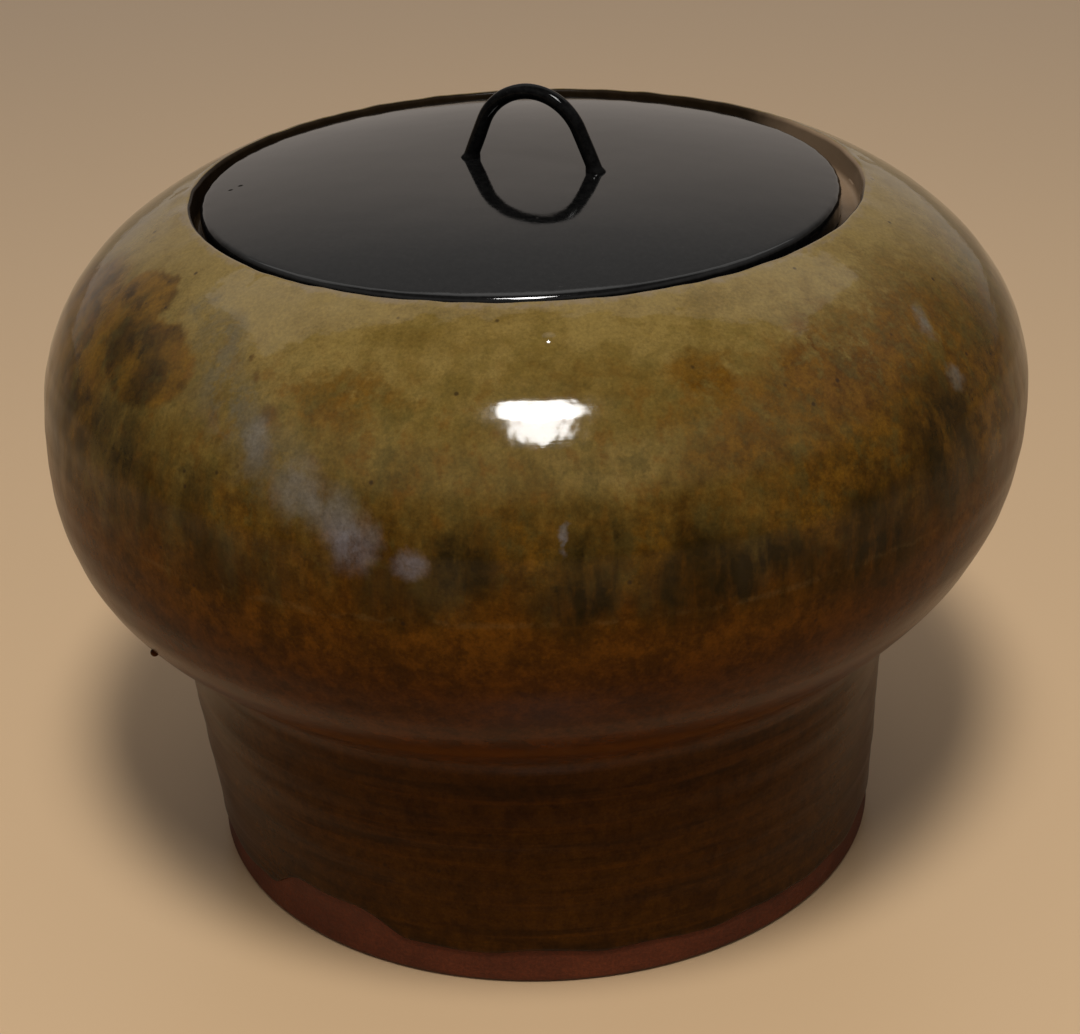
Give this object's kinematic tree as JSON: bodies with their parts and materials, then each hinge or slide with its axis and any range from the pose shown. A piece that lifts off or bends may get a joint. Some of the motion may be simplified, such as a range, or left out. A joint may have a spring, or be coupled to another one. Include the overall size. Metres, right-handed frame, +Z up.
{
  "type": "mizusashi water jar",
  "caption": "Round-bellied glazed stoneware water jar on a drum foot, with a drop-in black lacquered lid that lifts by an arched rod knob.",
  "frame": {"origin": "on the jar's axis, in the plane that its foot ring stands on", "axes": "+Z up along the axis of the jar; +X along the span of the knob's arch, so -Y is the side from which the arch is seen face on"},
  "size_m": [0.217, 0.217, 0.1761],
  "materials": {
    "stoneware": "bare fired clay, reddish brown, dull",
    "glaze": "glossy ash glaze, olive to amber, running to dark brown",
    "lacquer": "black lacquer on wood, mirror gloss"
  },
  "bodies": {
    "jar": {"stoneware_jar": "stoneware", "glaze_coat": "glaze"},
    "lid": {"lid_board": "lacquer", "lid_knob": "lacquer"}
  },
  "joints": [
    {"name": "lid_lift", "type": "slide", "parent": "jar", "child": "lid", "axis": [0, 0, 1], "range_m": [0, 0.15]}
  ]
}
